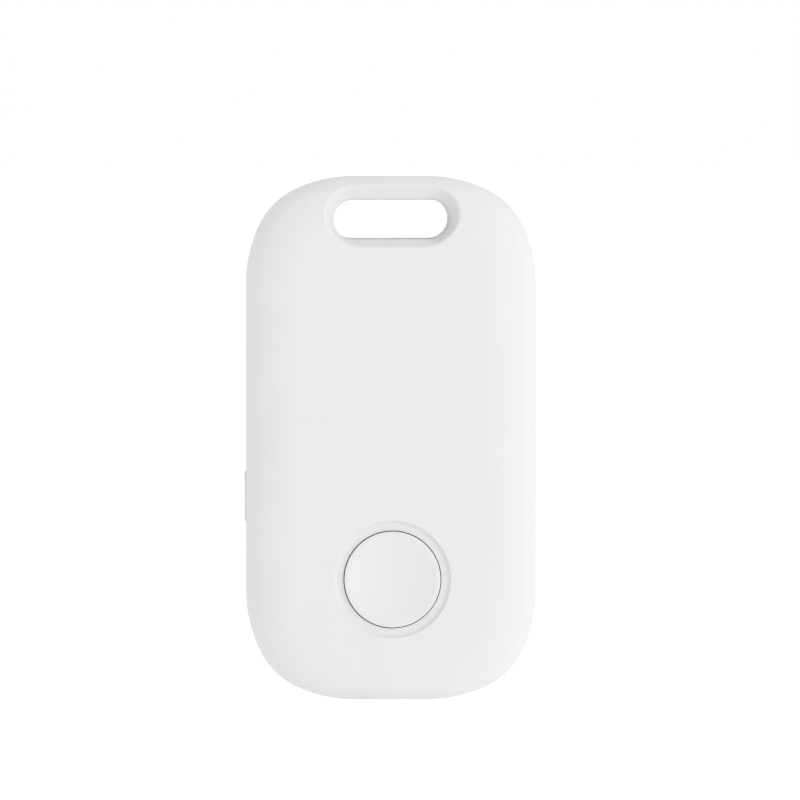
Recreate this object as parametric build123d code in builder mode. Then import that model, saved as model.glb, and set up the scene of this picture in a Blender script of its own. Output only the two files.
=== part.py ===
from build123d import *
from math import asin, cos, radians, sin
import os

# Bluetooth tracker tag: a two-shell plastic case about a coin cell, with a front button,
# a side key, a lanyard slot at the top and a twist-off battery door at the back.
# Frame: X across, Z up towards the lanyard slot, Y through the thickness with the front
# face towards -Y. The origin is under the middle of the case, at half its thickness.
# All lengths are in millimetres and all angles in degrees.

os.makedirs("parts", exist_ok=True)

# Case
body_width = 29.0
body_height = 52.4
body_thickness = 8.4
corner_outer_radius = 13.77
corner_inner_radius = 7.63
corner_outer_turn = 25.0
crown_radius = 9.0
crown_reach = 5.0
front_edge_radius = 2.2
rear_edge_radius = 2.4
parting_edge_radius = 0.1
wall = 1.2

# Lap joint of the two shells
lap_height = 0.8
lap_lip = 0.55
lap_gap = 0.05
seal_thickness = 0.16
seal_gap = 0.02
bead_radius = 0.18
bead_length = 7.0
bead_heights = (12.5, 36.5)
bead_end_gap = 0.1

# Lanyard slot
slot_length = 11.65
slot_width = 3.9
slot_height = 48.1
sleeve_wall = 1.6
funnel_depth = 1.4
funnel_tilt = 10.0
funnel_side_spread = 1.03
funnel_top_spread = 3.1
funnel_bottom_spread = 0.88
funnel_edge_radius = 0.3
rear_funnel_depth = 0.6
rear_funnel_taper = 45.0
rear_funnel_edge_radius = 0.2

# Front button
button_height = 12.18
button_radius = 4.8
button_gap = 0.1
button_set_back = 0.05
button_dish = 0.58
button_rim = 0.35
button_rim_radius = 0.15
button_travel = 0.25
recess_width = 0.96
recess_depth = 0.3
recess_lip_width = 0.42
flange_width = 0.9
flange_thickness = 0.4
flange_gap = 0.05
stem_radius = 1.4
button_core_inner = 2.2
button_core_outer = 4.0
button_core_depth = 0.45

# Side key
key_height = 20.35
key_length = 5.0
key_width = 1.4
key_proud = 0.15
key_edge_radius = 0.12
key_gap = 0.1
key_above_board = 1.0
key_flange_length = 6.2
key_flange_width = 1.8
key_flange_thickness = 0.4
key_travel = 0.25

# Circuit board
parts_room = 1.4
board_thickness = 0.8
board_inset = 2.0
board_top_gap = 0.6
board_corner_radius = 1.0

# Board fixings
screw_spread = 9.6
screw_drop = 2.7
lower_screw_height = 4.4
post_radius = 1.3
screw_radius = 0.55
screw_length = 2.0
screw_head_radius = 1.1
screw_head_height = 0.6
screw_recess_width = 0.3
screw_recess_length = 1.3
screw_recess_depth = 0.35
screw_hole_gap = 0.15
thread_gap = 0.01
pin_spread = 8.6
pin_height = 8.4
pin_radius = 0.6
pin_gap = 0.05

# Coin cell
cell_height = 28.5
cell_radius = 10.0
cell_thickness = 3.2
cell_room = 0.5
can_wall = 0.8
can_floor = 0.28
can_step = 0.3
can_edge_radius = 0.3
cap_radius = 8.9
cap_edge_radius = 0.15
grommet_wall = 0.26
grommet_gap = 0.02

# Battery door
well_gap = 0.3
skirt_wall = 0.7
door_radius = 11.7
door_gap = 0.15
door_pressure_gap = 0.05
door_fit = 0.08
door_seat_gap = 0.05
door_edge_radius = 0.25
door_turn = 45.0
lug_count = 3
lug_angle = 24.0
lug_height = 0.8
lug_gap = 0.1
lug_root = 0.2
ledge_height = 0.65
ledge_width = 1.0
notch_margin = 3.0
stop_angle = 3.0
coin_slot_length = 13.0
coin_slot_width = 1.8
coin_slot_depth = 0.6
coin_slot_edge_radius = 0.15
opening_edge_radius = 0.2
mark_radius = 0.45
mark_ring = 0.2
mark_depth = 0.2
mark_inset = 1.6
o_ring_radius = 0.2
o_ring_gap = 0.01
o_ring_stand = 0.04

# Cradle and contacts
cradle_gap = 0.15
cradle_opening = 5.6
cradle_floor_width = 0.7
cradle_floor_gap = 0.02
contact_thickness = 0.15
contact_gap = 0.01
contact_curl = 0.4
contact_curl_drop = 0.08
negative_width = 2.6
negative_base = 1.6
negative_reach = 4.6
positive_width = 4.0
positive_foot = 2.0
positive_spread = 0.7
positive_bulge = 1.3
positive_tip = 0.8
film_radius = 9.1
film_thickness = 0.08
film_hole_length = 5.6
film_hole_width = 3.6

# Sounder
sounder_height = 33.0
sounder_radius = 7.5
sounder_thickness = 0.15
ceramic_radius = 5.2
ceramic_thickness = 0.15
rib_height = 0.3
rib_width = 0.9
plate_contact_place = 6.4
ceramic_contact_place = -3.6
sounder_contact_length = 2.4
sounder_contact_width = 1.2
sounder_contact_thickness = 0.12

# Switches
front_switch_size = 3.0
front_switch_height = 0.45
front_plunger_radius = 0.8
plunger_gap = 0.03
switch_floor = 0.06
switch_cover = 0.08
cover_margin = 0.2
side_switch_length = 4.2
side_switch_depth = 2.4
side_switch_height = 1.8
side_plunger_size = 0.8
side_plunger_length = 1.3
side_plunger_proud = 0.45

# Parts soldered to the board: place across and up, then length, width and height
radio_chip = (0.0, 21.0, 5.0, 5.0, 0.8)
chip_mark_radius = 0.25
chip_mark_depth = 0.05
chip_mark_inset = 0.75
main_crystal = (5.6, 22.9, 2.5, 2.0, 0.55)
clock_crystal = (5.8, 19.9, 3.2, 1.5, 0.75)
crystal_lid = 0.12
crystal_lid_margin = 0.15
boost_coil = (-9.3, 26.2, 3.0, 3.0, 0.95)
boost_coil_radius = 1.1
boost_coil_groove = 0.2
boost_coil_corner_radius = 0.2
aerial = (0.6, 42.2, 7.0, 1.8, 0.8)
status_lamp = (7.6, 16.2, 1.6, 0.8, 0.25)
lamp_lens_length = 1.0
lamp_lens_height = 0.35
chip_end = 0.25
chip_end_rise = 0.05
capacitor_size = (1.0, 0.5, 0.5)
capacitor_places = ((-4.4, 19.4), (-4.4, 21.0), (-4.4, 22.6), (-6.6, 20.2), (9.6, 23.2), (5.6, 25.2))
resistor_size = (1.0, 0.5, 0.35)
resistor_places = ((-6.6, 21.8), (-6.6, 23.4), (9.6, 21.0), (7.6, 14.6))

# Values that follow from the ones above
front_face = -body_thickness / 2
rear_face = body_thickness / 2
inner_front = front_face + wall
inner_rear = rear_face - wall
corner_radii = (corner_outer_radius, corner_inner_radius, corner_outer_radius)
corner_turns = (corner_outer_turn, 90 - 2 * corner_outer_turn, corner_outer_turn)
corner_ends = (corner_outer_turn, 90 - corner_outer_turn, 90)
corner_reach = sum(
    radius * (sin(radians(end)) - sin(radians(end - turn)))
    for radius, turn, end in zip(corner_radii, corner_turns, corner_ends)
)
board_front = inner_front + parts_room
board_rear = board_front + board_thickness
board_top = slot_height - slot_width / 2 - sleeve_wall - board_top_gap
parting = board_rear + key_above_board
tongue_rear = parting + lap_height
seal_front = tongue_rear + seal_gap
seal_rear = seal_front + seal_thickness
rebate_rear = seal_rear + seal_gap
screw_places = (
    (-screw_spread, board_top - screw_drop),
    (screw_spread, board_top - screw_drop),
    (0, lower_screw_height),
)
pin_places = ((-pin_spread, pin_height), (pin_spread, pin_height))
cell_front = board_rear + cell_room
cell_rear = cell_front + cell_thickness
can_front = cell_front + can_step
well_radius = cell_radius + well_gap
skirt_radius = well_radius + skirt_wall
opening_radius = door_radius + door_gap
door_inner = cell_rear + door_pressure_gap
ledge_rear = inner_rear + door_seat_gap
ledge_front = ledge_rear - ledge_height
door_seat = ledge_rear + door_seat_gap
lug_rear = ledge_front - lug_gap
lug_front = lug_rear - lug_height
lug_places = [90 + 360 * k / lug_count for k in range(lug_count)]
o_ring_middle = (door_seat + rear_face) / 2
groove_radius = door_radius - 2 * o_ring_radius + o_ring_stand
cradle_rear = min(lug_front, door_inner) - cradle_gap
recess_floor = front_face + recess_depth
recess_radius = button_radius + button_gap + recess_width
button_top = front_face + button_set_back
flange_front = inner_front + flange_gap
flange_rear = flange_front + flange_thickness
flange_radius = button_radius + flange_width
front_switch_top = board_front - front_switch_height
front_cover_top = front_switch_top - switch_cover
front_plunger_tip = front_cover_top - button_travel - plunger_gap
key_outer = -body_width / 2 - key_proud
key_inner = -body_width / 2 + wall + flange_gap
side_plunger_tip = key_inner + key_flange_thickness + flange_gap
side_switch_front = side_plunger_tip + side_plunger_proud
sounder_front = inner_front + rib_height
sounder_rear = sounder_front + sounder_thickness
ceramic_rear = sounder_rear + ceramic_thickness
slot_middle = (0, slot_height)
button_middle = (0, button_height)
cell_middle = (0, cell_height)
sounder_middle = (0, sounder_height)
button_axis = Axis((0, 0, button_height), (0, 1, 0))
cell_axis = Axis((0, 0, cell_height), (0, 1, 0))


def level(depth):
    """Plane parallel to the front face at this Y, with X across and Z up in it.

    A positive extrusion from it runs towards the front.
    """
    return Plane.XZ.offset(-depth)


def outline(inset):
    """Case outline moved inwards: four straight sides joined by three-arc corners."""
    tall = body_height - 2 * corner_reach
    wide = body_width - 2 * corner_reach
    with BuildSketch() as face:
        with BuildLine():
            end = Vector(body_width / 2 - inset, corner_reach)
            heading = Vector(0, 1)
            for straight in (tall, wide, tall, wide):
                side = Line(end, end + heading * straight)
                end = side @ 1
                for radius, turn in zip(corner_radii, corner_turns):
                    arc = JernArc(end, heading, radius - inset, turn)
                    end = arc @ 1
                    heading = arc % 1
        make_face()
    return face.sketch


def disc(middle, radius, front, rear, mode=Mode.ADD):
    """Adds or cuts a disc parallel to the front face."""
    with BuildSketch(level(rear)) as face:
        with Locations(middle):
            Circle(radius)
    extrude(face.sketch, amount=rear - front, mode=mode)


def ring(middle, outer, inner, front, rear, mode=Mode.ADD):
    """Adds or cuts a flat ring parallel to the front face."""
    with BuildSketch(level(rear)) as face:
        with Locations(middle):
            Circle(outer)
            Circle(inner, mode=Mode.SUBTRACT)
    extrude(face.sketch, amount=rear - front, mode=mode)


def block(middle, across, up, front, rear, mode=Mode.ADD):
    """Adds or cuts a rectangular block parallel to the front face."""
    with BuildSketch(level(rear)) as face:
        with Locations(middle):
            Rectangle(across, up)
    extrude(face.sketch, amount=rear - front, mode=mode)


def stadium(middle, length, width, front, rear, mode=Mode.ADD):
    """Adds or cuts a block with round ends, long way across."""
    with BuildSketch(level(rear)) as face:
        with Locations(middle):
            SlotOverall(length, width)
    extrude(face.sketch, amount=rear - front, mode=mode)


def sector(outer, inner, angle, width, front, rear, mode=Mode.ADD):
    """Adds or cuts a piece of a ring about the cell, centred on an angle from +X."""
    with BuildSketch(level(rear)) as face:
        with BuildLine():
            near = CenterArc(cell_middle, inner, angle - width / 2, width)
            far = CenterArc(cell_middle, outer, angle - width / 2, width)
            Line(near @ 0, far @ 0)
            Line(near @ 1, far @ 1)
        make_face()
    extrude(face.sketch, amount=rear - front, mode=mode)


def save(part, name):
    """Labels a finished piece and writes it."""
    part.label = name
    export_step(part, f"parts/{name}.step")


def case_slab(inset):
    """Block with square edges, the case outline moved inwards and its faces with it."""
    with BuildPart() as slab:
        with BuildSketch(level(rear_face - inset)):
            add(outline(inset))
        extrude(amount=body_thickness - 2 * inset)
    return slab.part


def case_crown(inset):
    """Larger block whose front edge is rounded with the crown's radius."""
    radius = crown_radius - inset
    with BuildPart() as crown:
        with BuildSketch(level(front_face + inset + body_thickness + radius)):
            add(outline(crown_reach - radius))
        extrude(amount=body_thickness + radius)
        fillet(crown.faces().sort_by(Axis.Y)[0].edges(), radius=radius)
    return crown.part


def case_form(inset):
    """Whole case as one solid, with every outer surface moved inwards."""
    radius = crown_radius - inset
    crease_slope = asin((crown_reach - inset) / radius)
    crease = front_face + inset + radius * (1 - cos(crease_slope))
    slab = case_slab(inset)
    crown = case_crown(inset)
    with BuildPart() as form:
        add(slab)
        add(crown, mode=Mode.INTERSECT)
        fillet(form.faces().sort_by(Axis.Y)[-1].edges(), radius=rear_edge_radius - inset)
        crease_edges = form.edges().group_by(lambda edge: abs(edge.center().Y - crease))[0]
        fillet(crease_edges, radius=front_edge_radius - inset)
    return form.part


def case_cavity():
    """Hollow of the case, without the solid sleeve about the lanyard slot."""
    inner = case_form(wall)
    with BuildPart() as cavity:
        add(inner)
        stadium(
            slot_middle,
            slot_length + 2 * sleeve_wall,
            slot_width + 2 * sleeve_wall,
            front_face,
            rear_face,
            Mode.SUBTRACT,
        )
    return cavity.part


def key_passage():
    """Opening of the side key through the case wall."""
    with BuildPart() as passage:
        with BuildSketch(Plane.YZ.offset(key_outer)):
            with Locations((parting, key_height)):
                SlotOverall(key_length + 2 * key_gap, key_width + 2 * key_gap, rotation=90)
        extrude(amount=key_proud + wall + key_gap)
    return passage.part


def snap_beads(radius, length):
    """Half-round beads along the outside of the tongue, two at each side."""
    side = body_width / 2 - lap_lip - lap_gap
    middle = parting + lap_height / 2
    with BuildPart() as beads:
        for height in bead_heights:
            with BuildSketch(Plane.XY.offset(height - length / 2)):
                with Locations((-side, middle), (side, middle)):
                    Circle(radius)
            extrude(amount=length)
    return beads.part


def slot_funnel():
    """Flared front mouth of the slot, deeper at its top, with a gentler slope there.

    It is lofted as far in front of the face as behind it, so every spread counts twice.
    """
    narrow = Plane(
        origin=(0, front_face + funnel_depth, slot_height),
        x_dir=(1, 0, 0),
        z_dir=Vector(0, -1, 0).rotate(Axis.X, -funnel_tilt),
    )
    side_spread = 2 * funnel_side_spread
    top_spread = 2 * funnel_top_spread
    bottom_spread = 2 * funnel_bottom_spread
    wide_length = slot_length + 2 * side_spread
    wide_width = slot_width + top_spread + bottom_spread
    wide_height = slot_height + (top_spread - bottom_spread) / 2
    with BuildPart() as funnel:
        with BuildSketch(narrow):
            SlotOverall(slot_length, slot_width)
        with BuildSketch(level(front_face - funnel_depth)):
            with Locations((0, wide_height)):
                SlotOverall(wide_length, wide_width)
        loft(ruled=True)
    return funnel.part


outer_form = case_form(0)
cavity = case_cavity()
passage = key_passage()


def make_front_shell():
    """Front half of the case, with its tongue, posts, pins and the sounder's rib."""
    funnel = slot_funnel()
    beads = snap_beads(bead_radius, bead_length)
    with BuildPart() as shell:
        add(outer_form)
        split(bisect_by=level(parting), keep=Keep.TOP)
        fillet(shell.faces().sort_by(Axis.Y)[-1].edges(), radius=parting_edge_radius)
        add(cavity, mode=Mode.SUBTRACT)
        with BuildSketch(level(tongue_rear)):
            add(outline(lap_lip + lap_gap))
            add(outline(wall), mode=Mode.SUBTRACT)
        extrude(amount=lap_height)
        add(beads)
        for place in screw_places:
            disc(place, post_radius, inner_front, board_front)
            disc(place, screw_radius + thread_gap, inner_front, board_front, Mode.SUBTRACT)
        for place in pin_places:
            disc(place, post_radius, inner_front, board_front)
            disc(place, pin_radius, board_front, board_rear)
        rib_outer = sounder_radius + flange_gap
        ring(sounder_middle, rib_outer, rib_outer - rib_width, inner_front, sounder_front)
        stadium(slot_middle, slot_length, slot_width, front_face, parting, Mode.SUBTRACT)
        add(funnel, mode=Mode.SUBTRACT)
        mouth_edges = shell.edges(Select.LAST).filter_by_position(
            Axis.Y, front_face - funnel_edge_radius, front_face + funnel_depth - funnel_edge_radius
        )
        fillet(mouth_edges, radius=funnel_edge_radius)
        disc(button_middle, button_radius + button_gap, front_face, inner_front, Mode.SUBTRACT)
        with BuildSketch(Plane.XY.offset(button_height)):
            with BuildLine():
                floor_end = (recess_radius - recess_lip_width, recess_floor)
                rim = (recess_radius, front_face)
                TangentArc(floor_end, rim, tangent=(1, 0))
                Polyline(rim, (0, front_face), (0, recess_floor), floor_end)
            make_face()
        revolve(axis=button_axis, mode=Mode.SUBTRACT)
        add(passage, mode=Mode.SUBTRACT)
    return shell.part


def make_rear_shell():
    """Rear half of the case, with the door's opening, ledge, notches and stops."""
    grooves = snap_beads(bead_radius + lap_gap, bead_length + 2 * bead_end_gap)
    hole_radius = skirt_radius + door_fit
    with BuildPart() as shell:
        add(outer_form)
        split(bisect_by=level(parting), keep=Keep.BOTTOM)
        fillet(shell.faces().sort_by(Axis.Y)[0].edges(), radius=parting_edge_radius)
        add(cavity, mode=Mode.SUBTRACT)
        with BuildSketch(level(rebate_rear)):
            add(outline(lap_lip))
            add(outline(wall + lap_gap), mode=Mode.SUBTRACT)
        extrude(amount=rebate_rear - parting, mode=Mode.SUBTRACT)
        add(grooves, mode=Mode.SUBTRACT)
        stadium(slot_middle, slot_length, slot_width, parting, rear_face, Mode.SUBTRACT)
        with BuildSketch(Plane.XZ.offset(rear_funnel_depth - rear_face)):
            with Locations(slot_middle):
                SlotOverall(slot_length, slot_width)
        extrude(amount=-2 * rear_funnel_depth, taper=-rear_funnel_taper, mode=Mode.SUBTRACT)
        rear_edges = shell.edges(Select.LAST).group_by(Axis.Y)[-1]
        fillet(rear_edges, radius=rear_funnel_edge_radius)
        disc(cell_middle, opening_radius, inner_rear, rear_face, Mode.SUBTRACT)
        opening_edge = shell.edges(Select.LAST).group_by(Axis.Y)[-1]
        fillet(opening_edge, radius=opening_edge_radius)
        ring(cell_middle, opening_radius + ledge_width, hole_radius, ledge_front, ledge_rear)
        for place in lug_places:
            open_place = place - door_turn
            stop_offset = (lug_angle + stop_angle) / 2 + notch_margin
            sector(
                opening_radius,
                hole_radius - lug_root,
                open_place,
                lug_angle + 2 * notch_margin,
                ledge_front,
                ledge_rear,
                Mode.SUBTRACT,
            )
            for stop in (place + stop_offset, open_place - stop_offset):
                sector(
                    opening_radius + ledge_width / 2,
                    hole_radius,
                    stop,
                    stop_angle,
                    lug_front,
                    ledge_front,
                )
        mark_distance = opening_radius + mark_inset
        for angle, core in ((90, 0), (90 - door_turn, mark_radius - mark_ring)):
            spot = Vector(mark_distance, 0).rotate(Axis.Z, angle) + Vector(cell_middle)
            with BuildSketch(level(rear_face)):
                with Locations(spot):
                    Circle(mark_radius)
                    if core:
                        Circle(core, mode=Mode.SUBTRACT)
            extrude(amount=mark_depth, mode=Mode.SUBTRACT)
        add(passage, mode=Mode.SUBTRACT)
    return shell.part


def make_case_seal():
    """Flat silicone ring at the bottom of the lap joint."""
    with BuildPart() as seal:
        with BuildSketch(level(seal_rear)):
            add(outline(lap_lip + lap_gap))
            add(outline(wall), mode=Mode.SUBTRACT)
        extrude(amount=seal_thickness)
    return seal.part


def make_main_button():
    """Dished cap of the front button, with its flange and the stem on the switch."""
    with BuildPart() as button:
        with BuildSketch(Plane.XY.offset(button_height)):
            with BuildLine():
                dish_end = (button_radius - button_rim, button_top)
                dish_middle = Vector(0, button_top + button_dish)
                dish = TangentArc(dish_middle, dish_end, tangent=(1, 0))
                Polyline(
                    dish @ 1,
                    (button_radius, button_top),
                    (button_radius, flange_front),
                    (flange_radius, flange_front),
                    (flange_radius, flange_rear),
                    (stem_radius, flange_rear),
                    (stem_radius, front_plunger_tip - plunger_gap),
                    (0, front_plunger_tip - plunger_gap),
                    dish_middle,
                )
            make_face()
        revolve(axis=button_axis)
        ring(
            button_middle,
            button_core_outer,
            button_core_inner,
            flange_rear - button_core_depth,
            flange_rear,
            Mode.SUBTRACT,
        )
        rim_edges = button.edges().filter_by(GeomType.CIRCLE).filter_by_position(
            Axis.Y, button_top - flange_gap, button_top + flange_gap
        )
        fillet(rim_edges.sort_by(SortBy.RADIUS)[-1], radius=button_rim_radius)
    return button.part


def make_side_key():
    """Pill-shaped side key with the flange that keeps it in the case."""
    with BuildPart() as key:
        with BuildSketch(Plane.YZ.offset(key_outer)):
            with Locations((parting, key_height)):
                SlotOverall(key_length, key_width, rotation=90)
        extrude(amount=key_inner - key_outer)
        fillet(key.faces().sort_by(Axis.X)[0].edges(), radius=key_edge_radius)
        with BuildSketch(Plane.YZ.offset(key_inner)):
            with Locations((parting, key_height)):
                SlotOverall(key_flange_length, key_flange_width, rotation=90)
        extrude(amount=key_flange_thickness)
    return key.part


def make_battery_door():
    """Round door with a coin slot, a skirt, bayonet lugs and a groove for its seal."""
    with BuildPart() as door:
        disc(cell_middle, door_radius, door_seat, rear_face)
        fillet(door.faces().sort_by(Axis.Y)[-1].edges(), radius=door_edge_radius)
        disc(cell_middle, skirt_radius, door_inner, door_seat)
        ring(cell_middle, skirt_radius, well_radius, lug_front, door_seat)
        for place in lug_places:
            sector(door_radius, skirt_radius - lug_root, place, lug_angle, lug_front, lug_rear)
        ring(
            cell_middle,
            door_radius + door_gap,
            groove_radius,
            o_ring_middle - o_ring_radius - o_ring_gap,
            o_ring_middle + o_ring_radius + o_ring_gap,
            Mode.SUBTRACT,
        )
        stadium(
            cell_middle,
            coin_slot_length,
            coin_slot_width,
            rear_face - coin_slot_depth,
            rear_face,
            Mode.SUBTRACT,
        )
        slot_edges = door.edges(Select.LAST).group_by(Axis.Y)[-1]
        fillet(slot_edges, radius=coin_slot_edge_radius)
        mark = (0, cell_height + door_radius - mark_inset)
        disc(mark, mark_radius, rear_face - mark_depth, rear_face, Mode.SUBTRACT)
    return door.part


def make_door_seal():
    """Rubber ring in the groove of the door's rim."""
    with BuildPart() as seal:
        with BuildSketch(Plane.XY.offset(cell_height)):
            with Locations((groove_radius + o_ring_radius + o_ring_gap, o_ring_middle)):
                Circle(o_ring_radius)
        revolve(axis=cell_axis)
    return seal.part


def make_cell_can():
    """Positive can of the coin cell: a cup closed towards the door."""
    with BuildPart() as can:
        disc(cell_middle, cell_radius, can_front, cell_rear)
        fillet(can.faces().sort_by(Axis.Y)[-1].edges(), radius=can_edge_radius)
        fillet(can.faces().sort_by(Axis.Y)[0].edges(), radius=can_edge_radius)
        disc(
            cell_middle,
            cell_radius - can_wall,
            can_front,
            cell_rear - can_floor,
            Mode.SUBTRACT,
        )
    return can.part


def make_cell_cap():
    """Negative cap of the coin cell, with what the cell holds."""
    with BuildPart() as cap:
        disc(cell_middle, cap_radius, cell_front, cell_rear - can_floor - grommet_gap)
        fillet(cap.faces().sort_by(Axis.Y)[0].edges(), radius=cap_edge_radius)
    return cap.part


def make_cell_grommet():
    """Plastic ring that keeps the cell's cap and can apart."""
    inner = cap_radius + grommet_gap
    with BuildPart() as grommet:
        rear = cell_rear - can_floor - grommet_gap
        ring(cell_middle, inner + grommet_wall, inner, can_front, rear)
    return grommet.part


def make_battery_cradle():
    """Ring about the coin cell, with a floor and a gap for the side contact."""
    with BuildPart() as cradle:
        ring(cell_middle, skirt_radius, cell_radius + cradle_gap, board_rear, cradle_rear)
        floor_outer = cell_radius + 2 * cradle_gap
        floor_inner = floor_outer - cradle_floor_width - cradle_gap
        floor_rear = can_front - cradle_floor_gap
        ring(cell_middle, floor_outer, floor_inner, board_rear, floor_rear)
        gap_middle = (0, cell_height + cell_radius)
        gap_up = 2 * (skirt_radius - cell_radius + cradle_floor_width)
        block(gap_middle, cradle_opening, gap_up, board_rear, cradle_rear, Mode.SUBTRACT)
    return cradle.part


def make_negative_contact():
    """Double leaf spring between the board and the cell's cap."""
    foot = board_rear + contact_thickness / 2
    tip = cell_front - contact_thickness / 2 - contact_gap
    curl = negative_reach + contact_curl
    with BuildPart() as contact:
        with BuildSketch(Plane.XY.offset(cell_height - negative_width / 2)):
            with BuildLine():
                Polyline(
                    (-curl, tip - contact_curl_drop),
                    (-negative_reach, tip),
                    (-negative_base, foot),
                    (negative_base, foot),
                    (negative_reach, tip),
                    (curl, tip - contact_curl_drop),
                )
                offset(amount=contact_thickness / 2)
            make_face()
        extrude(amount=negative_width)
    return contact.part


def make_positive_contact():
    """Leaf that stands on the board and touches the side of the cell's can."""
    foot = board_rear + contact_thickness / 2
    touch = cell_height + cell_radius + contact_thickness / 2 + contact_gap
    with BuildPart() as contact:
        with BuildSketch(Plane.YZ.offset(-positive_width / 2)):
            with BuildLine():
                Polyline(
                    (foot, touch + positive_spread + positive_foot),
                    (foot, touch + positive_spread),
                    (foot + positive_bulge, touch),
                    (foot + positive_bulge + positive_tip / 2, touch),
                    (foot + positive_bulge + positive_tip, touch + positive_tip / 2),
                )
                offset(amount=contact_thickness / 2)
            make_face()
        extrude(amount=positive_width)
    return contact.part


def make_insulating_film():
    """Thin disc under the cell, open about the negative contact."""
    with BuildPart() as film:
        rear = board_rear + film_thickness
        disc(cell_middle, film_radius, board_rear, rear)
        block(cell_middle, film_hole_length, film_hole_width, board_rear, rear, Mode.SUBTRACT)
    return film.part


def make_circuit_board():
    """Board that follows the case outline up to the slot's sleeve."""
    waste = body_height - board_top
    with BuildPart() as board:
        with BuildSketch(level(board_rear)):
            add(outline(board_inset))
            with Locations((0, board_top + waste / 2)):
                Rectangle(body_width, waste, mode=Mode.SUBTRACT)
        extrude(amount=board_thickness)
        top_corners = board.edges().filter_by(Axis.Y).group_by(Axis.Z)[-1]
        fillet(top_corners, radius=board_corner_radius)
        for place in screw_places:
            hole_radius = screw_radius + screw_hole_gap
            disc(place, hole_radius, board_front, board_rear, Mode.SUBTRACT)
        for place in pin_places:
            disc(place, pin_radius + pin_gap, board_front, board_rear, Mode.SUBTRACT)
    return board.part


def make_board_screws():
    """The board's screws: round heads with a cross recess on straight shanks."""
    head_rear = board_rear + screw_head_height
    recess_front = head_rear - screw_recess_depth
    tip = board_rear - screw_length
    with BuildPart() as screws:
        for place in screw_places:
            disc(place, screw_head_radius, board_rear, head_rear)
            disc(place, screw_radius, tip, board_rear)
            block(
                place,
                screw_recess_length,
                screw_recess_width,
                recess_front,
                head_rear,
                Mode.SUBTRACT,
            )
            block(
                place,
                screw_recess_width,
                screw_recess_length,
                recess_front,
                head_rear,
                Mode.SUBTRACT,
            )
    return screws.part


def make_front_switch_body():
    """Base of the switch under the button, hollow for its plunger."""
    bore = front_plunger_radius + plunger_gap
    with BuildPart() as body:
        block(
            button_middle,
            front_switch_size,
            front_switch_size,
            front_switch_top,
            board_front,
        )
        disc(button_middle, bore, front_switch_top, board_front - switch_floor, Mode.SUBTRACT)
    return body.part


def make_front_switch_cover():
    """Steel plate over the front switch."""
    bore = front_plunger_radius + cover_margin
    with BuildPart() as cover:
        size = front_switch_size - cover_margin
        block(button_middle, size, size, front_cover_top, front_switch_top)
        disc(button_middle, bore, front_cover_top, front_switch_top, Mode.SUBTRACT)
    return cover.part


def make_front_switch_plunger():
    """Round plunger of the front switch."""
    with BuildPart() as plunger:
        rear = board_front - switch_floor - button_travel - plunger_gap
        disc(button_middle, front_plunger_radius, front_plunger_tip, rear)
    return plunger.part


def side_block(outer, depth, across, up, mode=Mode.ADD, middle=parting):
    """Adds or cuts a block that runs inwards from the case's left side."""
    with BuildSketch(Plane.YZ.offset(outer)) as face:
        with Locations((middle, key_height)):
            Rectangle(across, up)
    extrude(face.sketch, amount=depth, mode=mode)


def make_side_switch_body():
    """Base of the switch behind the side key, hollow for its plunger."""
    bore = side_plunger_size + 2 * plunger_gap
    bore_depth = side_plunger_length - side_plunger_proud + key_travel + plunger_gap
    middle = board_rear + side_switch_height / 2
    with BuildPart() as body:
        side_block(
            side_switch_front,
            side_switch_depth,
            side_switch_height,
            side_switch_length,
            middle=middle,
        )
        side_block(side_switch_front, bore_depth, bore, bore, Mode.SUBTRACT)
    return body.part


def make_side_switch_cover():
    """Steel plate over the side switch."""
    switch_rear = board_rear + side_switch_height
    middle = (side_switch_front + side_switch_depth / 2, key_height)
    with BuildPart() as cover:
        block(
            middle,
            side_switch_depth - cover_margin,
            side_switch_length - cover_margin,
            switch_rear,
            switch_rear + switch_cover,
        )
    return cover.part


def make_side_switch_plunger():
    """Square plunger of the side switch."""
    with BuildPart() as plunger:
        side_block(
            side_plunger_tip, side_plunger_length, side_plunger_size, side_plunger_size
        )
    return plunger.part


def make_sounder_plate():
    """Brass plate of the sounder, resting on the rib of the front shell."""
    with BuildPart() as plate:
        disc(sounder_middle, sounder_radius, sounder_front, sounder_rear)
    return plate.part


def make_sounder_ceramic():
    """Ceramic disc on the sounder's brass plate."""
    with BuildPart() as ceramic:
        disc(sounder_middle, ceramic_radius, sounder_rear, ceramic_rear)
    return ceramic.part


def make_sounder_contacts():
    """Two leaf springs from the board, one to the brass plate, one to the ceramic."""
    half = sounder_contact_thickness / 2
    foot = board_front - half
    touches = (
        (plate_contact_place, sounder_rear, 1),
        (ceramic_contact_place, ceramic_rear, -1),
    )
    with BuildPart() as contacts:
        for place, surface, side in touches:
            tip = surface + half + contact_gap
            start = place - side * sounder_contact_length
            with BuildSketch(Plane.XY.offset(sounder_height - sounder_contact_width / 2)):
                with BuildLine():
                    Polyline(
                        (start - side * sounder_contact_width, foot),
                        (start, foot),
                        (place, tip),
                        (place + side * contact_curl, tip + contact_curl_drop),
                    )
                    offset(amount=half)
                make_face()
            extrude(amount=sounder_contact_width)
    return contacts.part


def mounted(place_and_size):
    """Adds a plain block soldered to the front of the board."""
    across, up, length, width, height = place_and_size
    block((across, up), length, width, board_front - height, board_front)


def make_radio_chip():
    """Flat square radio chip with a small orientation dimple."""
    across, up, length, width, height = radio_chip
    chip_front = board_front - height
    dimple = (across - length / 2 + chip_mark_inset, up + width / 2 - chip_mark_inset)
    with BuildPart() as chip:
        mounted(radio_chip)
        disc(dimple, chip_mark_radius, chip_front, chip_front + chip_mark_depth, Mode.SUBTRACT)
    return chip.part


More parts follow.
